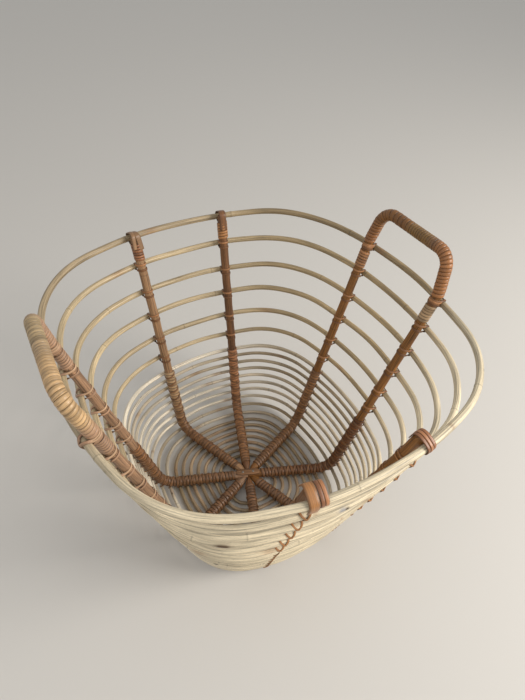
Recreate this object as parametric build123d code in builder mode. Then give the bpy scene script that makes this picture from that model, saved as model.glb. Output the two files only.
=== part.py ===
from build123d import *
import math
import os

# Open rattan log basket.  Round rods are bent into rounded-square rings and
# tied to the outside of eight bent ribs that meet at a hub under the load.
# Two neighbouring ribs on the +X side and two on the -X side carry on above
# the rim as the legs of a rectangular carrying handle.
# Millimetres, +Z up.  The origin is the middle of the footprint on the floor.

# ---------------------------------------------------------------- dimensions
RIM_HALF = 260.0            # rim rod centre line, half width along X
RIM_Z = 374.0               # height of the rim rod's centre
RIM_EXTRA = 6.0             # the rim is this much longer along Y, each side
BEND_EXTRA = 12.0           # and the rings at the base bend this much
WALL_LEAN = 16.5            # outward lean of the wall, degrees from vertical
BEND_RADIUS = 45.0          # wall to base bend, measured on ring centres
CORNER_INSET = 0.6507       # corner arc centre, share of half width in from the side
CORNER_RADIUS = 0.6         # corner arc radius, share of half width

WIDE_RING_HEIGHTS = [RIM_Z, 330.0, 285.0, 243.0, 200.5, 164.0]
WIDE_ROD_RADII = [4.7, 4.5, 4.4, 4.4, 4.2, 3.7]
CLOSE_RING_COUNT = 10       # closely spaced rings on the lower wall and bend
CLOSE_RING_PITCH = 15.7     # spacing along the wall's profile
BASE_RING_COUNT = 7         # flat rings of the base
BASE_RING_FIRST = 44.0      # half width of the innermost ring
BASE_RING_PITCH = 12.0
CLOSE_ROD_RADIUS = 3.0
FIRST_CLOSE_ROD_RADIUS = 3.5  # the uppermost close ring is a stouter rod

RIB_RADIUS = 7.0            # bare rib and handle rod
WRAP_THICKNESS = 1.4        # wound cane strip over a rib
GRIP_WRAP_THICKNESS = 1.8   # wound cane strip over a handle
FIT = 0.1                   # clearance between pieces that lie on each other
LASHING_THICKNESS = 1.0
LASHING_WIDTH = 2.0

HUB_RIB_START = 18.0        # the six shorter ribs stop this far from the centre
HUB_WRAP_START = 21.5       # rib windings start this far from the centre
WRAP_TOP_Z = 144.0          # rib windings end between the close and wide rings
RIB_END_ABOVE_RIM = 6.0     # free rib ends stand this far above the rim crossing

HANDLE_CORNER_RADIUS = 26.0
HANDLE_FOOT_RISE = 12.0     # a leg bends in this far above the rim crossing
HANDLE_FOOT_RADIUS = 50.0
GRIP_START = 8.0            # grip winding starts this far above that bend
TOP_WRAP_UPPER = 9.5        # short winding under the rim: from here below the crossing
TOP_WRAP_LOWER = 34.0       # to here

STRAP_WIDTH = 9.0           # flat strip folded over the rim at a free rib end
STRAP_INNER_LEG = 8.0       # how far the strip reaches down inside
STRAP_OUTER_LEG = 4.0       # and outside
HUB_STRAP_LENGTH = 42.0
HUB_STRAP_WIDTH = 12.0
HUB_STRAP_THICKNESS = 1.4
TACK_SPREAD = 9.0           # the two hub tacks, each side of the middle
TACK_RADIUS = 0.8
TACK_SHANK = 8.0
TACK_HOLE_DEPTH = 9.0
TACK_HEAD_RADIUS = 2.2
TACK_HEAD_HEIGHT = 0.8

CLOSE_TIE_ANGLE = 32.0      # slant of a lashing turn across the rib, close rings
WIDE_TIE_ANGLE = 40.0       # and on the wide rings, where two turns cross
TIE_ROUNDING_INNER = 7.0    # lashing turn's corners beside the rib
TIE_ROUNDING_OUTER = 3.0    # and beside the ring
SECOND_TURN_GROWTH = 1.25   # the crossing turn lies over the first one
FOOT_TIE_SLACK = 0.5        # room for the leg's bend inside the rim binding

# ---------------------------------------------------------- derived dimensions
WRAP_RADIUS = RIB_RADIUS + WRAP_THICKNESS
GRIP_RADIUS = RIB_RADIUS + GRIP_WRAP_THICKNESS
RIB_OFFSET = FIT + max(WIDE_ROD_RADII[0] + RIB_RADIUS, FIRST_CLOSE_ROD_RADIUS + WRAP_RADIUS)
BASE_Z = CLOSE_ROD_RADIUS + LASHING_THICKNESS + FIT
RIB_BASE_Z = BASE_Z + RIB_OFFSET
LEAN = math.radians(WALL_LEAN)
BEND_ANGLE = math.pi / 2 - LEAN
CORNER_HALF = RIM_HALF - (RIM_Z - BASE_Z) * math.tan(LEAN)
BEND_START = CORNER_HALF - BEND_RADIUS * math.tan(BEND_ANGLE / 2)
BEND_END = BEND_START + BEND_RADIUS * BEND_ANGLE
RIB_BEND_RADIUS = BEND_RADIUS - RIB_OFFSET
CROSSING_RISE = RIB_OFFSET * math.sin(LEAN)  # rib point above the ring it touches

SIDE_RIGHT = 0.0
SIDE_BACK = 90.0
SIDE_LEFT = 180.0
SIDE_FRONT = 270.0
# each rib: its side, which half of the side it is on, and its distance from the
# side's middle at the base bend and at the rim
RIBS = {
    "east": (SIDE_RIGHT, -1, 57.0, 79.0),
    "northeast": (SIDE_RIGHT, 1, 57.0, 73.0),
    "north": (SIDE_BACK, -1, 57.0, 77.0),
    "northwest": (SIDE_BACK, 1, 57.0, 72.0),
    "west": (SIDE_LEFT, -1, 54.0, 67.0),
    "southwest": (SIDE_LEFT, 1, 57.0, 82.0),
    "south": (SIDE_FRONT, -1, 57.0, 80.0),
    "southeast": (SIDE_FRONT, 1, 57.0, 62.0),
}
# sharp corners of the handle bars: distance out, distance from the side's middle, height
HANDLE_TOPS = {
    "east": (260.0, 66.0, 441.0),
    "northeast": (260.0, 67.0, 439.0),
    "west": (259.0, 61.0, 441.0),
    "southwest": (264.0, 75.0, 440.0),
}
HANDLE_RIBS = {"right": ("east", "northeast"), "left": ("west", "southwest")}
FREE_RIBS = {"back": ("north", "northwest"), "front": ("south", "southeast")}


def save(part, name):
    part.label = name
    export_step(part, f"parts/{name}.step")


# ------------------------------------------------------------------ ring shape
def wall_half(z):
    """Half width along X of the wall's ring centres at height z."""
    return RIM_HALF - (RIM_Z - z) * math.tan(LEAN)


def profile(reach):
    """Half width, height and slope angle at a distance along the profile."""
    if reach <= BEND_START:
        return reach, BASE_Z, 0.0
    if reach <= BEND_END:
        angle = (reach - BEND_START) / BEND_RADIUS
        half = BEND_START + BEND_RADIUS * math.sin(angle)
        return half, BASE_Z + BEND_RADIUS * (1 - math.cos(angle)), angle
    z = BASE_Z + BEND_RADIUS * (1 - math.cos(BEND_ANGLE))
    z += (reach - BEND_END) * math.cos(LEAN)
    return wall_half(z), z, BEND_ANGLE


def half_sizes(half):
    """Half width along X and half length along Y of one ring."""
    if half <= CORNER_HALF:
        return half, half + BEND_EXTRA * min(1.0, half / BEND_START)
    share = (half - CORNER_HALF) / (RIM_HALF - CORNER_HALF)
    return half, half + BEND_EXTRA + (RIM_EXTRA - BEND_EXTRA) * share


def side_radius(half_out, half_along):
    """Radius of the nearly flat side arc that faces outwards."""
    mean = (half_out + half_along) / 2
    inset = CORNER_INSET * mean
    corner = CORNER_RADIUS * mean
    along = half_along - inset
    return (inset**2 + along**2 - corner**2) / (2 * (inset - corner))


def ring(half, z, rod_radius):
    """One closed ring: four side arcs joined by four corner arcs."""
    half_x, half_y = half_sizes(half)
    mean = (half_x + half_y) / 2
    corner_x = half_x - CORNER_INSET * mean
    corner_y = half_y - CORNER_INSET * mean
    radius_x = side_radius(half_x, half_y)
    radius_y = side_radius(half_y, half_x)
    angle_x = math.degrees(math.atan2(corner_y, corner_x - half_x + radius_x))
    angle_y = math.degrees(math.atan2(corner_y - half_y + radius_y, corner_x))
    with BuildPart() as ring_part:
        with BuildLine(Plane.XY.offset(z)) as path:
            CenterArc((half_x - radius_x, 0), radius_x, 0, angle_x)
            CenterArc((corner_x, corner_y), CORNER_RADIUS * mean, angle_x, angle_y - angle_x)
            CenterArc((0, half_y - radius_y), radius_y, angle_y, 90 - angle_y)
            mirror(about=Plane.YZ)
            mirror(about=Plane.XZ)
        with BuildSketch(Plane(origin=(half_x, 0, z), x_dir=(1, 0, 0), z_dir=(0, 1, 0))):
            Circle(rod_radius)
        sweep(path=path.wires()[0])
    return ring_part.part


# ------------------------------------------------------------------- rib shape
def world(side, out, along, z):
    """A point given by its distance out from the middle and along its side."""
    angle = math.radians(side)
    x = out * math.cos(angle) - along * math.sin(angle)
    y = out * math.sin(angle) + along * math.cos(angle)
    return Vector(x, y, z)


def side_half_sizes(side, half):
    half_x, half_y = half_sizes(half)
    if side in (SIDE_RIGHT, SIDE_LEFT):
        return half_x, half_y
    return half_y, half_x


def rib_out(side, along, z, ring_half):
    """How far out the rib's axis lies, just inside the rings at height z."""
    half_out, half_along = side_half_sizes(side, ring_half)
    radius = side_radius(half_out, half_along)
    sag = radius - math.sqrt(radius**2 - along**2)
    extra = half_out - ring_half
    return wall_half(z) + extra - RIB_OFFSET / math.cos(LEAN) - sag


def rib_corner(name):
    side, hand, spread, rim_spread = RIBS[name]
    out = rib_out(side, spread, RIB_BASE_Z, CORNER_HALF)
    return world(side, out, hand * spread, RIB_BASE_Z)


def rib_rim_point(name):
    """Point of the rib's axis where it touches the rim rod."""
    side, hand, corner_spread, spread = RIBS[name]
    z = RIM_Z + CROSSING_RISE
    out = rib_out(side, spread, z, RIM_HALF)
    return world(side, out, hand * spread, z)


def rib_base_point(name, distance):
    """Point of the rib's axis on the base, at a distance from the hub centre."""
    corner = rib_corner(name)
    return Vector(0, 0, RIB_BASE_Z) + Vector(corner.X, corner.Y, 0).normalized() * distance


def rib_wall_direction(name):
    return (rib_rim_point(name) - rib_corner(name)).normalized()


def rib_wall_point(name, z):
    corner = rib_corner(name)
    direction = rib_wall_direction(name)
    return corner + direction * ((z - corner.Z) / direction.Z)


def handle_top(name):
    side, hand, corner_spread, rim_spread = RIBS[name]
    out, along, z = HANDLE_TOPS[name]
    return world(side, out, hand * along, z)


def handle_foot(name):
    return rib_rim_point(name) + rib_wall_direction(name) * HANDLE_FOOT_RISE


def handle_leg_point(name, distance):
    """Point on a handle leg, at a distance above its foot bend."""
    foot = handle_foot(name)
    return foot + (handle_top(name) - foot).normalized() * distance


def rod(points, radii, outer, inner=0.0):
    """Round rod, or a wound sleeve when inner is given, along a bent path."""
    start = (points[1] - points[0]).normalized()
    with BuildPart() as rod_part:
        with BuildLine() as path:
            if radii:
                FilletPolyline(*points, radius=radii)
            else:
                Line(*points)
        with BuildSketch(Plane(origin=points[0], z_dir=start)):
            Circle(outer)
            if inner:
                Circle(inner, mode=Mode.SUBTRACT)
        sweep(path=path.wires()[0])
    return rod_part.part


# -------------------------------------------------------------- lashing frames
def tie_frame(point, up, outward, angle):
    """Plane of one lashing turn, slanted across the rib by angle degrees."""
    slant = math.radians(angle)
    across = up.cross(outward).normalized()
    across_dir = across * math.cos(slant) + up * math.sin(slant)
    return Plane(origin=point, x_dir=across_dir, z_dir=across_dir.cross(outward * -1))


def crossing(name, half, point, up):
    """Rib point, rib direction and outward normal where the rib meets a ring."""
    side = RIBS[name][0]
    half_out, half_along = side_half_sizes(side, half)
    angle = math.radians(side)
    along = Vector(-math.sin(angle), math.cos(angle), 0)
    angle += math.asin(point.dot(along) / side_radius(half_out, half_along))
    tangent = Vector(-math.sin(angle), math.cos(angle), 0)
    return point, up, tangent.cross(up).normalized()


def base_crossing(name, half):
    """Crossing with one flat base ring."""
    side = RIBS[name][0]
    half_out, half_along = side_half_sizes(side, half)
    radius = side_radius(half_out, half_along)
    corner = rib_corner(name)
    direction = Vector(corner.X, corner.Y, 0).normalized()
    tilt = math.radians(side) - math.atan2(direction.Y, direction.X)
    shift = half_out - radius
    reach = shift * math.cos(tilt) + math.sqrt(radius**2 - (shift * math.sin(tilt)) ** 2)
    return crossing(name, half, rib_base_point(name, reach), direction)


def bend_crossing(name, half, angle):
    """Crossing on the bend, at an angle turned from the flat base."""
    corner = rib_corner(name)
    along = Vector(corner.X, corner.Y, 0).normalized()
    wall = rib_wall_direction(name)
    turn = math.acos(along.dot(wall))
    inward = (wall - along * along.dot(wall)).normalized()
    centre = corner - along * (RIB_BEND_RADIUS * math.tan(turn / 2)) + inward * RIB_BEND_RADIUS
    part_turn = angle * turn / BEND_ANGLE
    spoke = along * math.sin(part_turn) - inward * math.cos(part_turn)
    up = along * math.cos(part_turn) + inward * math.sin(part_turn)
    return crossing(name, half, centre + spoke * RIB_BEND_RADIUS, up)


def wall_crossing(name, ring_z):
    """Crossing on the straight wall, at a ring of height ring_z."""
    point = rib_wall_point(name, ring_z + CROSSING_RISE)
    return crossing(name, wall_half(ring_z), point, rib_wall_direction(name))


def tie_turn(angle, rib_radius, ring_radius, growth=0.0):
    """One closed lashing turn round a rib and the ring outside it.

    Drawn with the rib's axis at the origin and the ring towards -Y.
    """
    slant = math.radians(angle)
    half_width = LASHING_WIDTH / 2
    rib_half = rib_radius / math.cos(slant) + half_width * math.tan(slant) + 2 * FIT + growth
    ring_half = ring_radius / math.sin(slant) + half_width / math.tan(slant) + 2 * FIT + growth
    top = rib_radius + FIT + growth
    bottom = -(RIB_OFFSET + ring_radius + FIT + growth)
    waist = -rib_radius / 2
    with BuildSketch() as hole:
        with BuildLine():
            Polyline(
                (-rib_half, top),
                (rib_half, top),
                (rib_half, waist),
                (ring_half, bottom),
                (-ring_half, bottom),
                (-rib_half, waist),
                close=True,
            )
        make_face()
        fillet(hole.vertices().group_by(Axis.Y)[-1], TIE_ROUNDING_INNER)
        fillet(hole.vertices().group_by(Axis.Y)[0], TIE_ROUNDING_OUTER)
    with BuildPart() as turn:
        with BuildSketch():
            add(hole.sketch)
            offset(amount=LASHING_THICKNESS)
            add(hole.sketch, mode=Mode.SUBTRACT)
        extrude(amount=half_width, both=True)
    return turn.part


def tied(template, crossings, angle):
    """Copies of one lashing turn, one at each crossing."""
    frames = [tie_frame(point, up, outward, angle) for point, up, outward in crossings]
    with BuildPart() as group:
        with Locations(*[Location(frame) for frame in frames]):
            add(template)
    return group.part


os.makedirs("parts", exist_ok=True)

# ----------------------------------------------------------------------- rings
save(ring(RIM_HALF, RIM_Z, WIDE_ROD_RADII[0]), "rim_ring")
for index in range(1, len(WIDE_RING_HEIGHTS)):
    height = WIDE_RING_HEIGHTS[index]
    save(ring(wall_half(height), height, WIDE_ROD_RADII[index]), f"wall_ring_{index + 1}")

base_halves = [BASE_RING_FIRST + BASE_RING_PITCH * index for index in range(BASE_RING_COUNT)]
for index, half in enumerate(base_halves):
    save(ring(half, BASE_Z, CLOSE_ROD_RADIUS), f"base_ring_{index + 1}")

close_reaches = [
    base_halves[-1] + CLOSE_RING_PITCH * (index + 1) for index in range(CLOSE_RING_COUNT)
]
for index, reach in enumerate(close_reaches):
    half, height, slope = profile(reach)
    is_top = index == CLOSE_RING_COUNT - 1
    rod_radius = FIRST_CLOSE_ROD_RADIUS if is_top else CLOSE_ROD_RADIUS
    save(ring(half, height, rod_radius), f"close_ring_{index + 1}")

# ---------------------------------------------------------------- ribs, handles
tack_points = [rib_base_point("east", TACK_SPREAD), rib_base_point("west", TACK_SPREAD)]

for handle, (first, second) in HANDLE_RIBS.items():
    route = [
        rib_base_point(first, FIT),
        rib_corner(first),
        handle_foot(first),
        handle_top(first),
        handle_top(second),
        handle_foot(second),
        rib_corner(second),
        rib_base_point(second, HUB_RIB_START),
    ]
    half_radii = [RIB_BEND_RADIUS, HANDLE_FOOT_RADIUS, HANDLE_CORNER_RADIUS]
    with BuildPart() as handle_frame:
        add(rod(route, half_radii + half_radii[::-1], RIB_RADIUS))
        tack_point = tack_points[0] if handle == "right" else tack_points[1]
        with Locations(tack_point + Vector(0, 0, RIB_RADIUS)):
            Hole(TACK_RADIUS, depth=TACK_HOLE_DEPTH)
    save(handle_frame.part, f"handle_frame_{handle}")

    grip_route = [
        handle_leg_point(first, GRIP_START),
        handle_top(first),
        handle_top(second),
        handle_leg_point(second, GRIP_START),
    ]
    grip = rod(grip_route, [HANDLE_CORNER_RADIUS] * 2, GRIP_RADIUS, RIB_RADIUS)
    save(grip, f"grip_winding_{handle}")

for side_name, names in FREE_RIBS.items():
    for name in names:
        end_z = RIM_Z + CROSSING_RISE + RIB_END_ABOVE_RIM
        route = [
            rib_base_point(name, HUB_RIB_START),
            rib_corner(name),
            rib_wall_point(name, end_z),
        ]
        save(rod(route, [RIB_BEND_RADIUS], RIB_RADIUS), f"rib_{name}")

# ------------------------------------------------------------------ rib winding
for name in RIBS:
    route = [
        rib_base_point(name, HUB_WRAP_START),
        rib_corner(name),
        rib_wall_point(name, WRAP_TOP_Z),
    ]
    save(rod(route, [RIB_BEND_RADIUS], WRAP_RADIUS, RIB_RADIUS), f"rib_winding_{name}")


def top_winding(name):
    """Short winding on a rib between the rim and the second ring."""
    upper = rib_wall_point(name, RIM_Z + CROSSING_RISE - TOP_WRAP_UPPER)
    lower = rib_wall_point(name, RIM_Z + CROSSING_RISE - TOP_WRAP_LOWER)
    return rod([lower, upper], [], WRAP_RADIUS, RIB_RADIUS)


for group_name, names in {**HANDLE_RIBS, "back": FREE_RIBS["back"]}.items():
    with BuildPart() as top_windings:
        for name in names:
            add(top_winding(name))
    save(top_windings.part, f"top_windings_{group_name}")

# --------------------------------------------------------------------- lashings
close_turn = tie_turn(CLOSE_TIE_ANGLE, WRAP_RADIUS, CLOSE_ROD_RADIUS)
stout_turn = tie_turn(CLOSE_TIE_ANGLE, WRAP_RADIUS, FIRST_CLOSE_ROD_RADIUS)
wide_turn = tie_turn(WIDE_TIE_ANGLE, RIB_RADIUS, WIDE_ROD_RADII[0])
wide_over_turn = tie_turn(WIDE_TIE_ANGLE, RIB_RADIUS, WIDE_ROD_RADII[0], SECOND_TURN_GROWTH)

with BuildPart() as base_lashings:
    for name, rib in RIBS.items():
        crossings = [base_crossing(name, half) for half in base_halves]
        add(tied(close_turn, crossings, -rib[1] * CLOSE_TIE_ANGLE))
save(base_lashings.part, "base_lashings")

for name, rib in RIBS.items():
    close_angle = -rib[1] * CLOSE_TIE_ANGLE
    close_crossings = []
    for reach in close_reaches:
        half, height, slope = profile(reach)
        if reach < BEND_END:
            close_crossings.append(bend_crossing(name, half, slope))
        else:
            close_crossings.append(wall_crossing(name, height))
    wide_crossings = [wall_crossing(name, height) for height in WIDE_RING_HEIGHTS[1:]]
    with BuildPart() as lashings:
        add(tied(close_turn, close_crossings[:-1], close_angle))
        add(tied(stout_turn, close_crossings[-1:], close_angle))
        add(tied(wide_turn, wide_crossings, WIDE_TIE_ANGLE))
        add(tied(wide_over_turn, wide_crossings, -WIDE_TIE_ANGLE))
    save(lashings.part, f"lashings_{name}")

# ------------------------------------------------------- rim bindings and straps
foot_turn = tie_turn(WIDE_TIE_ANGLE, RIB_RADIUS, WIDE_ROD_RADII[0], FOOT_TIE_SLACK)
foot_over_turn = tie_turn(
    WIDE_TIE_ANGLE, RIB_RADIUS, WIDE_ROD_RADII[0], FOOT_TIE_SLACK + SECOND_TURN_GROWTH
)
for handle, names in HANDLE_RIBS.items():
    rim_crossings = [wall_crossing(name, RIM_Z) for name in names]
    with BuildPart() as rim_bindings:
        add(tied(foot_turn, rim_crossings, WIDE_TIE_ANGLE))
        add(tied(foot_over_turn, rim_crossings, -WIDE_TIE_ANGLE))
    save(rim_bindings.part, f"rim_bindings_{handle}")


def rim_strap(name):
    """Flat strip folded over a free rib end and the rim rod."""
    point, up, outward = wall_crossing(name, RIM_Z)
    inner = -(RIB_RADIUS + FIT)
    outer = RIB_OFFSET + WIDE_ROD_RADII[0] + FIT
    top = RIB_END_ABOVE_RIM / up.Z + FIT
    thick = LASHING_THICKNESS
    with BuildPart() as strap:
        with BuildSketch(Plane(origin=point, x_dir=outward, z_dir=outward.cross(up))):
            with BuildLine():
                Polyline(
                    (inner - thick, -STRAP_INNER_LEG),
                    (inner - thick, top + thick),
                    (outer + thick, top + thick),
                    (outer + thick, -STRAP_OUTER_LEG),
                    (outer, -STRAP_OUTER_LEG),
                    (outer, top),
                    (inner, top),
                    (inner, -STRAP_INNER_LEG),
                    close=True,
                )
            make_face()
        extrude(amount=STRAP_WIDTH / 2, both=True)
    return strap.part


for side_name, names in FREE_RIBS.items():
    with BuildPart() as rim_straps:
        for name in names:
            add(rim_strap(name))
    save(rim_straps.part, f"rim_straps_{side_name}")

# --------------------------------------------------------------------------- hub
strap_bottom = RIB_BASE_Z + RIB_RADIUS
strap_direction = rib_base_point("east", 1.0) - rib_base_point("east", 0.0)
strap_plane = Plane(origin=(0, 0, strap_bottom), x_dir=strap_direction, z_dir=(0, 0, 1))
with BuildPart() as hub_strap:
    with BuildSketch(strap_plane):
        SlotOverall(HUB_STRAP_LENGTH, HUB_STRAP_WIDTH)
    extrude(amount=HUB_STRAP_THICKNESS)
    strap_top = Vector(0, 0, RIB_RADIUS + HUB_STRAP_THICKNESS)
    with Locations(*[point + strap_top for point in tack_points]):
        Hole(TACK_RADIUS)
save(hub_strap.part, "hub_strap")

head_bottom = strap_bottom + HUB_STRAP_THICKNESS
with BuildPart() as hub_tacks:
    with BuildSketch(Plane.XY.offset(head_bottom)):
        with Locations(*[(point.X, point.Y) for point in tack_points]):
            Circle(TACK_HEAD_RADIUS)
    extrude(amount=TACK_HEAD_HEIGHT)
    with BuildSketch(Plane.XY.offset(head_bottom)):
        with Locations(*[(point.X, point.Y) for point in tack_points]):
            Circle(TACK_RADIUS)
    extrude(amount=-TACK_SHANK)
save(hub_tacks.part, "hub_tacks")
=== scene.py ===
import math
from collections import namedtuple

import bpy
import numpy as np
from mathutils import Matrix, Vector

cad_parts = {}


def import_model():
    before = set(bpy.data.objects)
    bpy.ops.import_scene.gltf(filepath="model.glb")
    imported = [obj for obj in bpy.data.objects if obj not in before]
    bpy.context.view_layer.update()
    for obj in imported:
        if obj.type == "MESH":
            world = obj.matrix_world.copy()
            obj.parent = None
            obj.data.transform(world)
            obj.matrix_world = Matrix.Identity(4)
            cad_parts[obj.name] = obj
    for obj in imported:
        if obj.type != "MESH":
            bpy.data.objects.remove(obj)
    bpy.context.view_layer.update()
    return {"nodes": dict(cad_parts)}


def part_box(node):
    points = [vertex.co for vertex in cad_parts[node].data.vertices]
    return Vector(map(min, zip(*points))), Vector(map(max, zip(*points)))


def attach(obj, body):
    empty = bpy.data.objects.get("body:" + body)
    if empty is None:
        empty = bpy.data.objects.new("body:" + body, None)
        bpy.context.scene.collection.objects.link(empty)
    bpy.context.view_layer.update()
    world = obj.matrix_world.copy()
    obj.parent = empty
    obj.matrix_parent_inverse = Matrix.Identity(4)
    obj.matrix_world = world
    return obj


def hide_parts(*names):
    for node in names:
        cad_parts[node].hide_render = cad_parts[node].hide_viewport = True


# Rattan log basket: every rod, wound strip and lashing turn is built as its own
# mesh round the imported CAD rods.  Lengths are in millimetres until a mesh is
# made, and in metres for the floor, lights and camera.  Colours are display
# values from 0 to 255 until they are converted.

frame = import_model()

MM = 0.001
BODY = "root"
SEED = 20

# ---- CAD dimensions
CORNER_INSET = 0.6507
CORNER_RADIUS = 0.6
BEND_RADIUS = 45.0
RIB_RADIUS = 7.0
WRAP_RADIUS = 8.4
GRIP_RADIUS = 8.8
HUB_WRAP_START = 21.5
WRAP_TOP_Z = 144.0
RIB_END_ABOVE_RIM = 6.0
HANDLE_CORNER_RADIUS = 26.0
HANDLE_FOOT_RISE = 12.0
HANDLE_FOOT_RADIUS = 50.0
TOP_WRAP_UPPER = 9.5
TOP_WRAP_LOWER = 34.0
TACK_SPREAD = 9.0
RIGHT, BACK, LEFT, FRONT = 0.0, 90.0, 180.0, 270.0
# side, half of the side, distance from its middle at the base bend and at the rim
RIBS = {
    "east": (RIGHT, -1, 57.0, 79.0),
    "northeast": (RIGHT, 1, 57.0, 73.0),
    "north": (BACK, -1, 57.0, 77.0),
    "northwest": (BACK, 1, 57.0, 72.0),
    "west": (LEFT, -1, 54.0, 67.0),
    "southwest": (LEFT, 1, 57.0, 82.0),
    "south": (FRONT, -1, 57.0, 80.0),
    "southeast": (FRONT, 1, 57.0, 62.0),
}
# upper corners of the handles: distance out, distance along the side, height
HANDLE_TOPS = {
    "east": (260.0, 66.0, 441.0),
    "northeast": (260.0, 67.0, 439.0),
    "west": (259.0, 61.0, 441.0),
    "southwest": (264.0, 75.0, 440.0),
}
HANDLE_RIBS = {"right": ("east", "northeast"), "left": ("west", "southwest")}
FREE_RIBS = {"back": ("north", "northwest"), "front": ("south", "southeast")}
WIDE_RINGS = ["rim_ring"] + [f"wall_ring_{number}" for number in range(2, 7)]
CLOSE_RINGS = [f"close_ring_{number}" for number in range(1, 11)]
BASE_RINGS = [f"base_ring_{number}" for number in range(1, 8)]

# ---- look settings
ROD_SIDES = 14
ROD_STEP = 4.5
TURN_SAMPLES = 16           # samples round one turn of a winding
STRIP_SECTION = [(-0.5, -0.1), (-0.47, 0.8), (-0.25, 0.96), (0.0, 1.0),
                 (0.25, 0.96), (0.47, 0.8), (0.5, -0.1)]
LASHING_THICKNESS = 0.8
CLOSE_LASHING_WIDTH = 3.0
HUB_TIP_START = 7.0         # pointed rib ends reach this close to the middle
HUB_TIP_SLOPE = 0.37        # radius gained per distance from the middle
HUB_BUTT_START = 0.1        # the handle rods' full ends reach the middle
HUB_STRAP_HALF_LENGTH = 21.0
HUB_STRAP_HALF_WIDTH = 6.0
ROD_UNEVENNESS = 0.012      # share of the radius
ROD_SHADING = 0.07
NODE_SWELLING = 0.06        # share of the radius
NODE_DARKNESS = 0.38
NODE_PALENESS = 0.06
RING_NODE_START = (30.0, 160.0)     # a rod's first swollen node lies in this range
RING_NODE_STEP = (170.0, 300.0)
RIB_NODE_START = (60.0, 140.0)
RIB_NODE_STEP = (150.0, 210.0)
RIB_NODE_END_GAP = 20.0
WIDE_RING_WANDER = 0.6      # how far a rod strays from its true line
CLOSE_RING_WANDER = 0.4
RIB_WANDER = 0.25
STAINS_PER_RING = 3
RIB_WRAP_PITCH = 5.8
RIB_WRAP_START_GAP = 2.0    # the strip is wound this far inside the CAD winding's ends
RIB_WRAP_END_GAP = 3.0
TOP_WRAP_PITCH = 4.6
TOP_WRAP_START_GAP = 1.0
TOP_WRAP_OVERRUN = 2.5      # past the upper end of the CAD winding
GRIP_OVERRUN = 4.0          # below the bends at the handle's feet
PAINTED_LIGHT_FROM_Y = -40.0       # painted light: rods paler and creamier towards the lit front, from here
PAINTED_LIGHT_DEPTH = 120.0
PAINTED_SHADE_FROM_X = 60.0         # and painted shade: browner and darker towards the right, from here
PAINTED_SHADE_DEPTH = 90.0
PAINTED_SHADE_SHARE = 0.6

STRAW = (214, 191, 150)
STRAW_GREY = (170, 149, 116)
# colours of the painted shade on the right-hand rods and the painted light on the front rods
SHADED_ROD = (134, 110, 70)
FRONT_LIT_CREAM = (231, 214, 180)
PALE_ROD = (246, 233, 208)
BASE_ROD = (178, 150, 118)
RIB_DARK = (142, 92, 36)
RIB_BROWN = (122, 80, 44)
RIB_LIGHT = (164, 124, 86)
RIB_PALE = (168, 130, 98)
STRIP_DARK = (128, 89, 56)
STRIP_RUSSET = (116, 68, 24)
STRIP_AMBER = (150, 104, 62)
STRIP_BROWN = (134, 95, 60)
STRIP_WARM = (170, 118, 74)
STRIP_RED = (150, 98, 62)
STRIP_COPPER = (188, 128, 84)
STRIP_UMBER = (182, 152, 114)
STRIP_TAN = (190, 156, 116)
STRIP_OLIVE = (178, 152, 112)
STRIP_OCHRE = (202, 165, 118)
STRIP_PINK = (186, 146, 114)
BAR_OLIVE = (134, 98, 48)
BAR_BROWN = (132, 86, 36)
LEG_ORANGE = (164, 108, 60)
STRAP_ORANGE = (178, 122, 70)
BINDING_PALE = (204, 166, 130)
STAIN = (62, 46, 34)
SILVER = (176, 172, 168)
BLOTCH = (104, 78, 52)


def linear(color):
    """Scene-linear value of a display colour."""
    value = np.asarray(color, float) / 255
    return np.where(value <= 0.04045, value / 12.92, ((value + 0.055) / 1.055) ** 2.4)


def waves(distance, length, rng, cycles):
    """Smooth random curve that closes on itself over length, about -1 to 1."""
    total = np.zeros_like(distance, dtype=float)
    for cycle in cycles:
        total += np.sin(2 * math.pi * cycle * distance / length + rng.uniform(0, 2 * math.pi))
    return total / math.sqrt(len(cycles))


def bump_at(distance, centre, width):
    """Smooth hump, 1 at its centre."""
    return np.exp(-(((distance - centre) / width) ** 2))


def unit(vectors):
    return vectors / np.linalg.norm(vectors, axis=-1, keepdims=True)


def grid(first, second, third):
    """Vectors made of three arrays stretched to one shape."""
    return np.stack(np.broadcast_arrays(first, second, third), -1)


def in_millimetres(box):
    """Low and high corner of a frame box."""
    return [np.array(corner) / MM for corner in box]


def add_object(name, data):
    piece = bpy.data.objects.new(name, data)
    bpy.context.scene.collection.objects.link(piece)
    return piece


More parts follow.
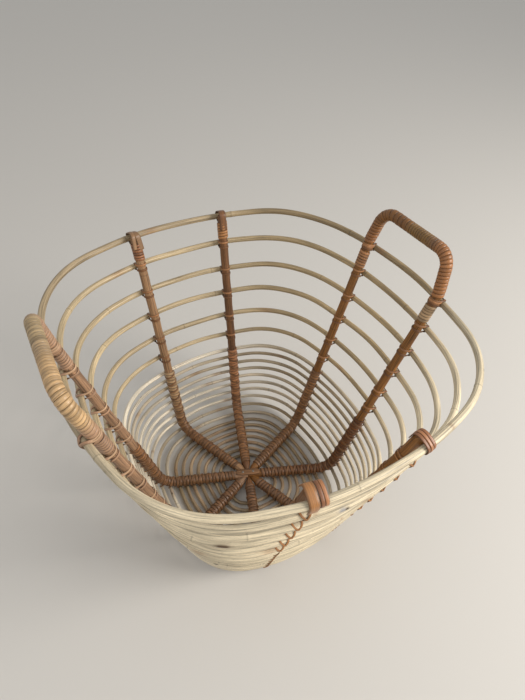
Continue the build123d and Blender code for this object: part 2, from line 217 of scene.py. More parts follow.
# ---- paths
class Path:
    """A line in space with a normal carried along it, asked for by distance."""

    def __init__(self, points, normal, closed=False):
        self.points = np.vstack([points, points[:1]]) if closed else np.asarray(points, float)
        steps = np.linalg.norm(np.diff(self.points, axis=0), axis=1)
        self.marks = np.concatenate([[0.0], np.cumsum(steps)])
        self.length = self.marks[-1]
        self.closed = closed
        tangents = self.tangent(self.marks)
        carried = [np.asarray(normal, float)]
        for tangent in tangents:
            last = carried[-1]
            carried.append(unit(last - tangent * last.dot(tangent)))
        self.normals = np.array(carried[1:])

    def pick(self, table, distance):
        """Rows of a table, read between the path's own points."""
        return np.stack([np.interp(distance, self.marks, table[:, axis]) for axis in range(3)], -1)

    def at(self, distance):
        if self.closed:
            return self.pick(self.points, np.mod(distance, self.length))
        inside = np.clip(distance, 0, self.length)
        ends = unit(np.array([self.points[1] - self.points[0], self.points[-1] - self.points[-2]]))
        over = np.asarray(distance - inside)[..., None]
        return self.pick(self.points, inside) + np.where(over < 0, ends[0], ends[1]) * over

    def tangent(self, distance):
        return unit(self.at(distance + 0.5) - self.at(distance - 0.5))

    def frame(self, distance):
        """Tangent, normal and the third direction, normal x tangent."""
        tangent = self.tangent(distance)
        wrapped = np.mod(distance, self.length) if self.closed else distance
        normal = self.pick(self.normals, wrapped)
        dot = np.sum(normal * tangent, axis=-1, keepdims=True)
        normal = unit(normal - tangent * dot)
        return tangent, normal, np.cross(normal, tangent)


def rounded(corners, radii):
    """Points along straight runs joined by arcs of the given radii."""
    points = [corners[0]]
    for index, radius in enumerate(radii, start=1):
        before = unit(corners[index - 1] - corners[index])
        after = unit(corners[index + 1] - corners[index])
        turn = math.pi - math.acos(before.dot(after))
        reach = radius * math.tan(turn / 2)
        start = corners[index] + before * reach
        inward = unit(after - before * before.dot(after))
        for angle in np.linspace(0, turn, 25):
            sideways = inward * radius * (1 - math.cos(angle))
            points.append(start + sideways - before * radius * math.sin(angle))
    points.append(corners[-1])
    dense = [points[0]]
    for start, end in zip(points, points[1:]):
        count = max(1, round(np.linalg.norm(end - start) / ROD_STEP))
        dense += [start + (end - start) * step / count for step in range(1, count + 1)]
    return np.array(dense)


def smooth_loop(controls, samples, closed=True):
    """Catmull-Rom curve through control points."""
    controls = np.asarray(controls, float)
    count = len(controls)
    spans = count if closed else count - 1
    parts = []
    for index in range(spans):
        take = [(index + shift) % count if closed else min(max(index + shift, 0), count - 1)
                for shift in (-1, 0, 1, 2)]
        p0, p1, p2, p3 = controls[take]
        t = np.linspace(0, 1, samples, endpoint=False)[:, None]
        parts.append(0.5 * (2 * p1 + (p2 - p0) * t + (2 * p0 - 5 * p1 + 4 * p2 - p3) * t**2
                            + (3 * p1 - p0 - 3 * p2 + p3) * t**3))
    if not closed:
        parts.append(controls[-1:])
    return np.vstack(parts)


# ---- meshes
def facing(points):
    """Positive where the faces made from rows of points look outwards."""
    along = points[1:] - points[:-1]
    around = (np.roll(points, -1, axis=1) - points)[:-1]
    outwards = (points - points.mean(axis=1, keepdims=True))[:-1]
    return np.sum(np.cross(along, around) * outwards)


def start_piece(series, node):
    """An empty shape and a node's own random numbers, the same in every run."""
    number = sorted(frame["nodes"]).index(node)
    return Shape(), np.random.default_rng([SEED, series, number])


class Shape:
    """Collects surfaces with their colour and grain, and makes one mesh object."""

    def __init__(self):
        self.points = []
        self.tints = []
        self.faces = []
        self.grains = []
        self.count = 0

    def surface(self, points, grain, tint, close_rows=False):
        """A tube from rows of points; each row closes on itself.

        grain has one more row than points where the rows close.
        """
        rows, sides = points.shape[:2]
        base = self.count
        tint = np.broadcast_to(tint, points.shape)
        if facing(points) < 0:
            points, grain, tint = points[:, ::-1], grain[:, ::-1], tint[:, ::-1]
        self.points.append(points.reshape(-1, 3))
        self.tints.append(tint.reshape(-1, 3))
        self.count += rows * sides
        spans = rows if close_rows else rows - 1
        for row in range(spans):
            for side in range(sides):
                corners = ((row, side), (row + 1, side), (row + 1, side + 1), (row, side + 1))
                self.faces.append(tuple(base + r % rows * sides + s % sides for r, s in corners))
                self.grains += [grain[r, s % sides] for r, s in corners]
        if not close_rows:
            for row, step in ((0, 1), (rows - 1, -1)):
                cap = range(sides)[::step]
                self.faces.append(tuple(base + row * sides + side for side in cap))
                self.grains += [grain[row, side] for side in cap]

    def make(self, name, material, slot, nodes):
        mesh = bpy.data.meshes.new(name)
        mesh.from_pydata((np.vstack(self.points) * MM).tolist(), [], self.faces)
        tint = mesh.attributes.new("tint", "FLOAT_COLOR", "POINT")
        colours = np.ones((self.count, 4))
        colours[:, :3] = np.vstack(self.tints)
        tint.data.foreach_set("color", colours.ravel())
        grain = mesh.attributes.new("grain", "FLOAT_VECTOR", "CORNER")
        grain.data.foreach_set("vector", np.array(self.grains, dtype=float).ravel())
        mesh.polygons.foreach_set("use_smooth", [True] * len(self.faces))
        mesh.materials.append(material)
        piece = add_object(name, mesh)
        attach(piece, BODY)
        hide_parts(*nodes)


def add_rod(shape, path, radius, tint, rng, limit=None, wander=0.0, nodes=(), spots=()):
    """Round rod with swollen nodes; limit caps its radius near pointed ends.

    Each spot is (distance, angle round the rod, half length, half width, colour).
    """
    count = max(4, round(path.length / ROD_STEP))
    distance = np.linspace(0, path.length, count, endpoint=not path.closed)
    close = list(nodes) + [spot[0] for spot in spots]
    if close:
        extra = np.concatenate([np.linspace(place - 5, place + 5, 9) for place in close])
        distance = np.unique(np.concatenate([distance, np.clip(extra, 0, path.length - 0.5)]))
    size = radius * (1 + ROD_UNEVENNESS * waves(distance, path.length, rng, (5, 9, 14)))
    shade = 1 + ROD_SHADING * waves(distance, path.length, rng, (2, 3, 5, 9))
    for place in nodes:
        size += radius * NODE_SWELLING * bump_at(distance, place, 3.0)
        shade -= NODE_DARKNESS * bump_at(distance, place, 0.9)
        shade += NODE_PALENESS * bump_at(distance, place, 6.0)
    if limit:
        size = np.minimum(size, limit(distance))
    normal, third = path.frame(distance)[1:]
    centre = path.at(distance)
    centre = centre + normal * (wander * waves(distance, path.length, rng, (4, 7, 11)))[:, None]
    centre = centre + third * (wander * waves(distance, path.length, rng, (3, 8, 13)))[:, None]
    angle = np.linspace(0, 2 * math.pi, ROD_SIDES, endpoint=False)
    cosine, sine = np.cos(angle), np.sin(angle)
    spoke = normal[:, None] * cosine[None, :, None] + third[:, None] * sine[None, :, None]
    points = centre[:, None] + spoke * size[:, None, None]
    marks = np.append(distance, path.length) if path.closed else distance
    offset = rng.uniform(0, 4000)
    grain = grid(marks[:, None] + offset, radius * cosine[None] + offset, radius * sine[None])
    colour = tint(distance) if callable(tint) else np.broadcast_to(linear(tint), (len(distance), 3))
    colour = np.repeat((colour * np.clip(shade, 0.3, 1.2)[:, None])[:, None], ROD_SIDES, axis=1)
    for where, turned, half_length, half_width, mark in spots:
        around = np.angle(np.exp(1j * (angle - turned))) * radius
        share = bump_at(distance, where, half_length)[:, None] * bump_at(around, 0, half_width)[None]
        share = np.clip(share * 1.6, 0, 1)[..., None]
        colour = colour * (1 - share) + linear(mark) * share
    shape.surface(points, grain, colour, close_rows=path.closed)


def section(width, thickness):
    """Outline of a strip's cross section: places across it and heights above its base."""
    across = np.array([place for place, rise in STRIP_SECTION]) * width
    rise = np.array([rise for place, rise in STRIP_SECTION]) * thickness
    return across, rise


def turn_marks(start, end, pitch):
    """Where each turn begins, with a pitch that may change along the way."""
    marks = [0.0]
    while marks[-1] < end - start:
        marks.append(marks[-1] + (pitch(start + marks[-1]) if callable(pitch) else pitch))
    return start + np.array(marks) * (end - start) / marks[-1]


def add_winding(shape, path, start, end, outer_radius, pitch, tint, rng, hand=1, cover=0.93,
                uneven=0.13, edge_shade=0.5):
    """Cane strip wound round a rib rod from one distance along it to another."""
    thickness = outer_radius - RIB_RADIUS
    marks = turn_marks(start, end, pitch)
    turns = len(marks) - 1
    marks[1:-1] += rng.normal(0, 0.03, turns - 1) * np.diff(marks)[1:]
    turn = np.linspace(0, turns, turns * TURN_SAMPLES + 1)
    index = np.minimum(turn.astype(int), turns - 1)
    place = np.interp(turn, np.arange(turns + 1), marks)
    middles = np.arange(turns) + 0.5
    width = np.interp(turn, middles, np.diff(marks)) * cover
    across, rise = section(1.0, thickness)
    angle = hand * 2 * math.pi * turn
    where = place[:, None] + across[None] * width[:, None] * hand
    normal, third = path.frame(np.clip(where, 0, path.length))[1:]
    spoke = normal * np.cos(angle)[:, None, None] + third * np.sin(angle)[:, None, None]
    lift = np.interp(turn, middles, thickness * 0.15 * rng.random(turns))
    points = path.at(where) + spoke * (RIB_RADIUS + rise[None] + lift[:, None])[..., None]
    run = turn * 2 * math.pi * RIB_RADIUS
    sideways = across[None] * width[:, None] + turn[:, None] * 3.0
    grain = grid(run[:, None] + rng.uniform(0, 4000), sideways, rise[None])
    vary = np.clip(1 + rng.normal(0, uneven, turns), 0.7, 1.28)[index]
    colour = tint(place) if callable(tint) else np.broadcast_to(linear(tint), (len(place), 3))
    # painted shade: each turn darkens towards its edges, where it meets the next turn
    shaded_edge = 1 - edge_shade * np.abs(across / across.max()) ** 4
    shape.surface(points, grain, colour[:, None] * vary[:, None, None] * shaded_edge[None, :, None])


def add_strip(shape, centre, normal, width, thickness, tint, rng, closed=True):
    """Flat strip along a line of points with an outward normal at each."""
    centre = np.asarray(centre)
    if closed:
        tangent = unit(np.roll(centre, -1, axis=0) - np.roll(centre, 1, axis=0))
    else:
        tangent = unit(np.gradient(centre, axis=0))
    normal = unit(normal - tangent * np.sum(normal * tangent, axis=1, keepdims=True))
    side = np.cross(tangent, normal)
    across, rise = section(width, thickness)
    points = (centre[:, None] + side[:, None] * across[None, :, None]
              + normal[:, None] * rise[None, :, None])[:, ::-1]
    steps = np.linalg.norm(np.diff(centre, axis=0), axis=1)
    run = np.concatenate([[0], np.cumsum(steps)])
    if closed:
        run = np.append(run, run[-1] + steps[0])
    grain = grid(
        run[:, None] + rng.uniform(0, 4000), across[::-1][None] + rng.uniform(0, 400), rise[::-1][None]
    )
    # painted shade: the strip darkens towards its edges
    shaded_edge = 1 - 0.4 * np.abs(across[::-1] / across.max()) ** 4
    shade = 1 + rng.normal(0, 0.08)
    colour = np.broadcast_to(tint if np.ndim(tint) == 2 else linear(tint), centre.shape)
    shape.surface(points, grain, colour[:, None] * shade * shaded_edge[None, :, None], close_rows=closed)


# ---- materials
def new_material(name):
    """A material with its nodes, links and shader."""
    material = bpy.data.materials.new(name)
    material.use_nodes = True
    tree = material.node_tree
    return material, tree.nodes, tree.links, tree.nodes["Principled BSDF"]


def rattan(name, streak, pores, grooves, roughness, bump, coat):
    """Peeled cane or bark strip: grain runs along the piece's own length."""
    material, nodes, links, shader = new_material(name)
    tint = nodes.new("ShaderNodeAttribute")
    tint.attribute_name = "tint"
    grain = nodes.new("ShaderNodeAttribute")
    grain.attribute_name = "grain"

    def noise(scale, detail):
        stretch = nodes.new("ShaderNodeVectorMath")
        stretch.operation = "MULTIPLY"
        stretch.inputs[1].default_value = scale
        texture = nodes.new("ShaderNodeTexNoise")
        texture.inputs["Scale"].default_value = 1.0
        texture.inputs["Detail"].default_value = detail
        links.new(grain.outputs["Vector"], stretch.inputs[0])
        links.new(stretch.outputs[0], texture.inputs["Vector"])
        return texture.outputs["Fac"]

    def spread(source, low, high, out_low, out_high):
        ranged = nodes.new("ShaderNodeMapRange")
        limits = {"From Min": low, "From Max": high, "To Min": out_low, "To Max": out_high}
        for socket, value in limits.items():
            ranged.inputs[socket].default_value = value
        links.new(source, ranged.inputs["Value"])
        return ranged.outputs["Result"]

    def times(first, second):
        maths = nodes.new("ShaderNodeMath")
        maths.operation = "MULTIPLY"
        links.new(first, maths.inputs[0])
        links.new(second, maths.inputs[1])
        return maths.outputs[0]

    # noise drawn out along the grain: fine fibres, broad patches, short pores, long grooves
    fibres = noise((0.025, 0.7, 0.7), 5.0)
    mottle = noise((0.014, 0.12, 0.12), 2.0)
    dashes = noise((0.22, 2.6, 2.6), 3.0)
    light = spread(fibres, 0.32, 0.68, 1 - streak, 1 + streak * 0.6)
    patch = spread(mottle, 0.3, 0.7, 0.84, 1.12)
    cracks = noise((0.012, 0.85, 0.85), 2.0)
    pits = times(spread(dashes, 0.30, 0.42, 1 - pores, 1.0),
                 spread(cracks, 0.36, 0.46, 1 - grooves, 1.0))
    factor = times(times(light, patch), pits)
    colour = nodes.new("ShaderNodeVectorMath")
    colour.operation = "SCALE"
    links.new(tint.outputs["Color"], colour.inputs[0])
    links.new(factor, colour.inputs["Scale"])
    links.new(colour.outputs[0], shader.inputs["Base Color"])
    links.new(spread(fibres, 0.3, 0.7, roughness + 0.1, roughness - 0.08), shader.inputs["Roughness"])
    relief = nodes.new("ShaderNodeBump")
    relief.inputs["Strength"].default_value = bump
    relief.inputs["Distance"].default_value = 0.0004
    links.new(times(fibres, pits), relief.inputs["Height"])
    links.new(relief.outputs["Normal"], shader.inputs["Normal"])
    shader.inputs["Coat Weight"].default_value = coat
    shader.inputs["Coat Roughness"].default_value = 0.35
    return material


def speckled(name, scale, dark, light):
    """A material whose colour noise varies between two, with its parts and the noise."""
    material, nodes, links, shader = new_material(name)
    texture = nodes.new("ShaderNodeTexNoise")
    texture.inputs["Scale"].default_value = scale
    ramp = nodes.new("ShaderNodeValToRGB")
    ramp.color_ramp.elements[0].color = (*linear(dark), 1.0)
    ramp.color_ramp.elements[1].color = (*linear(light), 1.0)
    links.new(texture.outputs["Fac"], ramp.inputs["Fac"])
    links.new(ramp.outputs["Color"], shader.inputs["Base Color"])
    return material, nodes, links, shader, texture


def tack_metal():
    """Dull steel with worn, slightly brown patches."""
    material, nodes, links, shader, texture = speckled(
        "tack_metal", scale=900.0, dark=(96, 80, 64), light=(176, 172, 164))
    shader.inputs["Metallic"].default_value = 0.9
    position = nodes.new("ShaderNodeTexCoord")
    rough = nodes.new("ShaderNodeMapRange")
    rough.inputs["To Min"].default_value = 0.6
    rough.inputs["To Max"].default_value = 0.3
    relief = nodes.new("ShaderNodeBump")
    relief.inputs["Strength"].default_value = 0.2
    relief.inputs["Distance"].default_value = 0.0001
    links.new(position.outputs["Object"], texture.inputs["Vector"])
    links.new(texture.outputs["Fac"], rough.inputs["Value"])
    links.new(rough.outputs["Result"], shader.inputs["Roughness"])
    links.new(texture.outputs["Fac"], relief.inputs["Height"])
    links.new(relief.outputs["Normal"], shader.inputs["Normal"])
    return material


rod_wood = rattan(
    "peeled_rod", streak=0.3, pores=0.35, grooves=0.42, roughness=0.5, bump=0.5, coat=0.06)
rib_wood = rattan(
    "brown_rod", streak=0.34, pores=0.4, grooves=0.6, roughness=0.55, bump=0.7, coat=0.0)
strip_wood = rattan(
    "wound_strip", streak=0.26, pores=0.3, grooves=0.25, roughness=0.42, bump=0.45, coat=0.15)
lashing_wood = rattan(
    "lashing_strip", streak=0.24, pores=0.2, grooves=0.2, roughness=0.5, bump=0.4, coat=0.05)
steel = tack_metal()


# ---- ring frame
RingSize = namedtuple("RingSize", "half_x half_y z rod_radius")


def ring_size(name):
    """Half sizes and height of a CAD ring's centre line, and its rod's radius."""
    low, high = in_millimetres(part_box(name))
    radius = (high[2] - low[2]) / 2
    return RingSize(high[0] - radius, high[1] - radius, (low[2] + high[2]) / 2, radius)


def side_radius(half_out, half_along):
    """Radius of the shallow arc along one side of a ring."""
    mean = (half_out + half_along) / 2
    inset = CORNER_INSET * mean
    corner = CORNER_RADIUS * mean
    along = half_along - inset
    return (inset**2 + along**2 - corner**2) / (2 * (inset - corner))


def ring_path(name):
    """The ring's centre line, with its normal pointing outwards."""
    half_x, half_y, z = ring_size(name)[:3]
    mean = (half_x + half_y) / 2
    corner = np.array([half_x, half_y]) - CORNER_INSET * mean
    radius_x = side_radius(half_x, half_y)
    radius_y = side_radius(half_y, half_x)
    angle_x = math.atan2(corner[1], corner[0] - half_x + radius_x)
    angle_y = math.atan2(corner[1] - half_y + radius_y, corner[0])
    quarter = []
    for centre_x, centre_y, radius, start, end in (
        (half_x - radius_x, 0, radius_x, 0, angle_x),
        (corner[0], corner[1], CORNER_RADIUS * mean, angle_x, angle_y),
        (0, half_y - radius_y, radius_y, angle_y, math.pi / 2),
    ):
        for angle in np.linspace(start, end, 24, endpoint=False):
            quarter.append((centre_x + radius * math.cos(angle), centre_y + radius * math.sin(angle)))
    quarter = np.array(quarter)
    upper = np.vstack([quarter, [(0.0, half_y)], quarter[::-1] * [-1, 1]])
    outline = np.vstack([upper, (upper * [1, -1])[::-1][1:-1]])
    points = np.column_stack([outline, np.full(len(outline), z)])
    return Path(points, (1.0, 0.0, 0.0), closed=True)


RIM = ring_size("rim_ring")
SECOND = ring_size("wall_ring_2")
BEND = ring_size("close_ring_2")
BASE_Z = ring_size("base_ring_1").z
RIB_BASE_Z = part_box("handle_frame_right")[0][2] / MM + RIB_RADIUS
RIB_OFFSET = RIB_BASE_Z - BASE_Z
LEAN = math.atan((RIM.half_x - SECOND.half_x) / (RIM.z - SECOND.z))
CROSSING_RISE = RIB_OFFSET * math.sin(LEAN)
CORNER_HALF = RIM.half_x - (RIM.z - BASE_Z) * math.tan(LEAN)
RIM_EXTRA = RIM.half_y - RIM.half_x
BEND_EXTRA = BEND.half_y - BEND.half_x
RIB_BEND_RADIUS = BEND_RADIUS - RIB_OFFSET


def wall_half(z):
    """Half width of the leaning wall, along the rods' centres, at a height."""
    return RIM.half_x - (RIM.z - z) * math.tan(LEAN)


# ---- rib frame
def world(side, out, along, z):
    """A point from its distance out from the middle and its distance along a side."""
    angle = math.radians(side)
    return np.array([
        out * math.cos(angle) - along * math.sin(angle),
        out * math.sin(angle) + along * math.cos(angle),
        z,
    ])


def rib_out(side, along, z, half, extra):
    """How far out a rib's axis lies, inside rings that bow out along each side."""
    across = side in (RIGHT, LEFT)
    half_out, half_along = (half, half + extra) if across else (half + extra, half)
    radius = side_radius(half_out, half_along)
    sag = radius - math.sqrt(radius**2 - along**2)
    return wall_half(z) + half_out - half - RIB_OFFSET / math.cos(LEAN) - sag


def rib_corner(name):
    side, hand, spread, _ = RIBS[name]
    out = rib_out(side, spread, RIB_BASE_Z, CORNER_HALF, BEND_EXTRA)
    return world(side, out, hand * spread, RIB_BASE_Z)


def rib_rim_point(name):
    side, hand, _, spread = RIBS[name]
    z = RIM.z + CROSSING_RISE
    return world(side, rib_out(side, spread, z, RIM.half_x, RIM_EXTRA), hand * spread, z)


def base_direction(name):
    corner = rib_corner(name)
    return unit(np.array([corner[0], corner[1], 0.0]))


def base_point(name, distance):
    return base_direction(name) * distance + [0, 0, RIB_BASE_Z]


def wall_direction(name):
    return unit(rib_rim_point(name) - rib_corner(name))


def wall_point(name, z):
    corner = rib_corner(name)
    direction = wall_direction(name)
    return corner + direction * ((z - corner[2]) / direction[2])


def handle_top(name):
    side, hand = RIBS[name][:2]
    out, along, z = HANDLE_TOPS[name]
    return world(side, out, hand * along, z)


def handle_foot(name):
    return rib_rim_point(name) + wall_direction(name) * HANDLE_FOOT_RISE


def rib_path(name):
    """The rib's axis from the hub to just above the rim, normal towards the rings."""
    end = wall_point(name, RIM.z + CROSSING_RISE + RIB_END_ABOVE_RIM)
    corners = [base_point(name, HUB_TIP_START), rib_corner(name), end]
    return Path(rounded(corners, [RIB_BEND_RADIUS]), (0, 0, -1.0))


def handle_path(names):
    """One handle rod: up one rib, over the bar and down the other."""
    first, second = names
    corners = [
        base_point(first, HUB_BUTT_START), rib_corner(first), handle_foot(first), handle_top(first),
        handle_top(second), handle_foot(second), rib_corner(second), base_point(second, HUB_TIP_START),
    ]
    radii = [RIB_BEND_RADIUS, HANDLE_FOOT_RADIUS, HANDLE_CORNER_RADIUS]
    return Path(rounded(corners, radii + radii[::-1]), (0, 0, -1.0))


def nearest(path, point):
    """Distance along a path at which it passes closest to a point."""
    marks = np.linspace(0, path.length, 6000)
    return marks[np.argmin(np.linalg.norm(path.at(marks) - point, axis=1))]


rib_paths = {name: rib_path(name) for name in RIBS}
handle_paths = {handle: handle_path(names) for handle, names in HANDLE_RIBS.items()}
ring_paths = {name: ring_path(name) for name in WIDE_RINGS + CLOSE_RINGS + BASE_RINGS}


# ---- rings
# tones of the rings that stand out, from grey (0) to fresh (1); the rest are drawn at random
RING_TONES = {"rim_ring": 0.15, "wall_ring_3": 0.7, "wall_ring_4": 1.1, "wall_ring_6": 0.7,
              "close_ring_4": 1.1, "close_ring_5": 1.2, "close_ring_6": 1.0, "close_ring_10": 0.9}


def ring_tint(name, rng):
    """Colour along a ring: each rod has its own tone, drifting along its length."""
    fresh = STRAW if name in WIDE_RINGS else BASE_ROD if name in BASE_RINGS else PALE_ROD
    low, high = linear(STRAW_GREY), linear(fresh)
    lit_colour, shaded = linear(FRONT_LIT_CREAM), linear(SHADED_ROD)
    tone = RING_TONES.get(name, rng.uniform(0.3, 0.7))
    length = ring_paths[name].length
    phases = rng.uniform(0, 2 * math.pi, 2)
    stains = rng.uniform(0, length, 3)

    def tint(distance):
        drift = 0.25 * np.sin(2 * math.pi * distance / length + phases[0])
        drift = drift + 0.15 * np.sin(6 * math.pi * distance / length + phases[1])
        share = np.clip(tone + drift, 0, 1)[:, None]
        colour = low * (1 - share) + high * share
        middle = ring_paths[name].at(distance)
        # painted light: towards the front, the lit side, the rods are blended to a pale cream
        painted_light = np.clip((PAINTED_LIGHT_FROM_Y - middle[:, 1]) / PAINTED_LIGHT_DEPTH, 0, 1)[:, None]
        colour = colour * (1 - painted_light) + lit_colour * painted_light * (0.9 + 0.1 * share)
        # painted shade: towards the right, the shaded side, the rods are blended to a darker brown
        painted_shade = PAINTED_SHADE_SHARE * np.clip((middle[:, :1] - PAINTED_SHADE_FROM_X) / PAINTED_SHADE_DEPTH, 0, 1)
        painted_shade = painted_shade * (1 - painted_light)
        colour = colour * (1 - painted_shade) + shaded * painted_shade * (0.8 + 0.4 * share)
        for number, place in enumerate(stains):
            mark = 0.5 * bump_at(distance, place, 2.0 + 5.0 * number)[:, None]
            colour = colour * (1 - mark) + linear(RIB_LIGHT) * mark
        return colour

    return tint


# marks on the rods: ring, where on it, angle above its outer side, half sizes, colour
RING_SPOTS = [
    ("wall_ring_4", -165.0, -220.0, 0.2, 8.0, 3.0, BLOTCH),
    ("wall_ring_3", -20.0, -240.0, 0.3, 4.5, 3.0, SILVER),
    ("wall_ring_3", -14.0, -240.0, 0.1, 2.5, 2.0, STAIN),
    ("rim_ring", 30.0, 266.0, 0.9, 3.0, 2.0, STAIN),
    ("rim_ring", -95.0, 262.0, 0.9, 2.0, 2.0, STAIN),
]


def make_ring(name):
    shape, rng = start_piece(1, name)
    path = ring_paths[name]
    radius = ring_size(name).rod_radius
    joints = []
    place = rng.uniform(*RING_NODE_START)
    while place < path.length - RING_NODE_START[0]:
        joints.append(place)
        place += rng.uniform(*RING_NODE_STEP)
    wander = WIDE_RING_WANDER if name in WIDE_RINGS else CLOSE_RING_WANDER
    spots = [(nearest(path, (x, y, path.points[0, 2])), turned, long, wide, mark)
             for ring, x, y, turned, long, wide, mark in RING_SPOTS if ring == name]
    for _ in range(STAINS_PER_RING):
        spots.append((rng.uniform(0, path.length), rng.uniform(-1, 1.5), rng.uniform(1, 3), 0.9, STAIN))
    add_rod(shape, path, radius, ring_tint(name, rng), rng, wander=wander, nodes=joints, spots=spots)
    slot = "straw_rod" if name in WIDE_RINGS else "pale_rod"
    shape.make(f"{name}_rod", rod_wood, slot, [name])


for name in ring_paths:
    make_ring(name)


# ---- ribs, handles
def free_rib_limit(path):
    """Pointed at the hub, where the ribs crowd together, and worn round at the top."""
    def limit(distance):
        top = RIB_RADIUS * np.sqrt(np.clip((path.length - distance + 0.3) / 2.5, 0.02, 1))
        return np.minimum((HUB_TIP_START + distance) * HUB_TIP_SLOPE, top)
    return limit


def handle_limit(path):
    """Full at the end under the hub strap, pointed at the other end."""
    def limit(distance):
        return (HUB_TIP_START + path.length - distance) * HUB_TIP_SLOPE
    return limit


def make_rod(name, path, tint, limit):
    shape, rng = start_piece(2, name)
    first = rng.uniform(*RIB_NODE_START)
    joints = np.arange(first, path.length - RIB_NODE_END_GAP, rng.uniform(*RIB_NODE_STEP))
    add_rod(shape, path, RIB_RADIUS, tint, rng, limit=limit, wander=RIB_WANDER, nodes=joints)
    shape.make(f"{name}_rod", rib_wood, "rib_rod", [name])


RIB_TONES = {"north": RIB_BROWN, "northwest": RIB_LIGHT, "south": RIB_BROWN, "southeast": RIB_DARK}
for name, tone in RIB_TONES.items():
    path = rib_paths[name]
    make_rod(f"rib_{name}", path, tone, free_rib_limit(path))
FRAME_TONES = {"right": RIB_DARK, "left": RIB_PALE}
for handle, path in handle_paths.items():
    make_rod(f"handle_frame_{handle}", path, FRAME_TONES[handle], handle_limit(path))


# ---- windings
def graded_tint(stops, start, end):
    """Colour along a wound length: stops are (share of that length, colour)."""
    shares = [share for share, colour in stops]
    colours = np.array([linear(colour) for share, colour in stops])

    def tint(distance):
        share = (distance - start) / (end - start)
        return np.stack([np.interp(share, shares, colours[:, axis]) for axis in range(3)], -1)

    return tint


# colours of each rib's winding: at the hub, at the base bend, at its upper end
WINDING_TONES = {
    "east": (STRIP_DARK, STRIP_RUSSET, STRIP_RUSSET),
    "northeast": (STRIP_BROWN, STRIP_AMBER, STRIP_AMBER),
    "north": (STRIP_AMBER, STRIP_WARM, STRIP_COPPER),
    "northwest": (STRIP_BROWN, STRIP_AMBER, STRIP_TAN),
    "west": (STRIP_BROWN, STRIP_BROWN, STRIP_WARM),
    "southwest": (STRIP_DARK, STRIP_BROWN, STRIP_WARM),
    "south": (STRIP_DARK, STRIP_BROWN, STRIP_BROWN),
    "southeast": (STRIP_DARK, STRIP_BROWN, STRIP_BROWN),
}
WINDING_SHARES = (0.0, 0.45, 1.0)


def make_rib_winding(name):
    node = f"rib_winding_{name}"
    shape, rng = start_piece(3, node)
    path = rib_paths[name]
    end = nearest(path, wall_point(name, WRAP_TOP_Z))
    start = HUB_WRAP_START - HUB_TIP_START
    tone = graded_tint(list(zip(WINDING_SHARES, WINDING_TONES[name])), start, end)
    add_winding(shape, path, start + RIB_WRAP_START_GAP, end - RIB_WRAP_END_GAP, WRAP_RADIUS,
                RIB_WRAP_PITCH, tone, rng, hand=RIBS[name][1], cover=0.92)
    shape.make(f"{node}_strip", strip_wood, "rib_strip", [node])


for name in RIBS:
    make_rib_winding(name)


TOP_WRAP_TONES = {
    "north": STRAP_ORANGE, "northwest": STRIP_RED, "east": STRIP_TAN, "northeast": STRIP_WARM,
    "west": STRIP_PINK, "southwest": STRIP_PINK,
}


def top_zone(name):
    """Where the CAD winding under the rim starts and ends along a rib."""
    path = rib_paths[name]
    crossing = nearest(path, rib_rim_point(name))
    return crossing - TOP_WRAP_LOWER / math.cos(LEAN), crossing - TOP_WRAP_UPPER / math.cos(LEAN)


def make_top_windings(group, names):
    node = f"top_windings_{group}"
    shape, rng = start_piece(4, node)
    for name in names:
        start, end = top_zone(name)
        add_winding(shape, rib_paths[name], start + TOP_WRAP_START_GAP, end + TOP_WRAP_OVERRUN,
                    WRAP_RADIUS, TOP_WRAP_PITCH, TOP_WRAP_TONES[name], rng, hand=RIBS[name][1])
    shape.make(f"{node}_strip", strip_wood, "rib_strip", [node])


for group, names in {**HANDLE_RIBS, "back": FREE_RIBS["back"]}.items():
    make_top_windings(group, names)


# along each grip: (share of its length, pitch) and (share of its length, colour)
GRIP_PITCHES = {
    "right": [(0.0, 5.2), (0.3, 4.8), (0.38, 4.2), (0.52, 4.4), (0.57, 9.0), (0.72, 9.0),
              (0.78, 5.2), (1.0, 5.2)],
    "left": [(0.0, 4.8), (0.24, 4.8), (0.3, 6.0), (0.42, 6.4), (0.47, 4.8), (1.0, 4.8)],
}
GRIP_STOPS = {
    "right": [(0.0, LEG_ORANGE), (0.28, LEG_ORANGE), (0.34, STRIP_BROWN), (0.4, BAR_OLIVE),
              (0.54, BAR_OLIVE), (0.58, BAR_BROWN), (0.8, BAR_BROWN), (1.0, LEG_ORANGE)],
    "left": [(0.0, STRIP_PINK), (0.2, STRIP_PINK), (0.27, STRIP_OLIVE), (0.42, STRIP_OLIVE),
             (0.46, STRIP_UMBER), (0.51, STRIP_UMBER), (0.56, STRIP_OCHRE), (0.92, STRIP_OCHRE),
             (1.0, STRIP_PINK)],
}


def make_grip(handle, names):
    node = f"grip_winding_{handle}"
    shape, rng = start_piece(5, node)
    path = handle_paths[handle]
    start = nearest(path, handle_foot(names[0]))
    end = nearest(path, handle_foot(names[1]))
    tint = graded_tint(GRIP_STOPS[handle], start, end)
    shares, pitches = zip(*GRIP_PITCHES[handle])

    def pitch(distance):
        return np.interp((distance - start) / (end - start), shares, pitches)

    add_winding(shape, path, start - GRIP_OVERRUN, end + GRIP_OVERRUN, GRIP_RADIUS, pitch, tint,
                rng, hand=-1, cover=0.985, uneven=0.07, edge_shade=0.28)
    slot = "grip_strip_red" if handle == "right" else "grip_strip_tan"
    shape.make(f"{node}_strip", strip_wood, slot, [node])


for handle, names in HANDLE_RIBS.items():
    make_grip(handle, names)


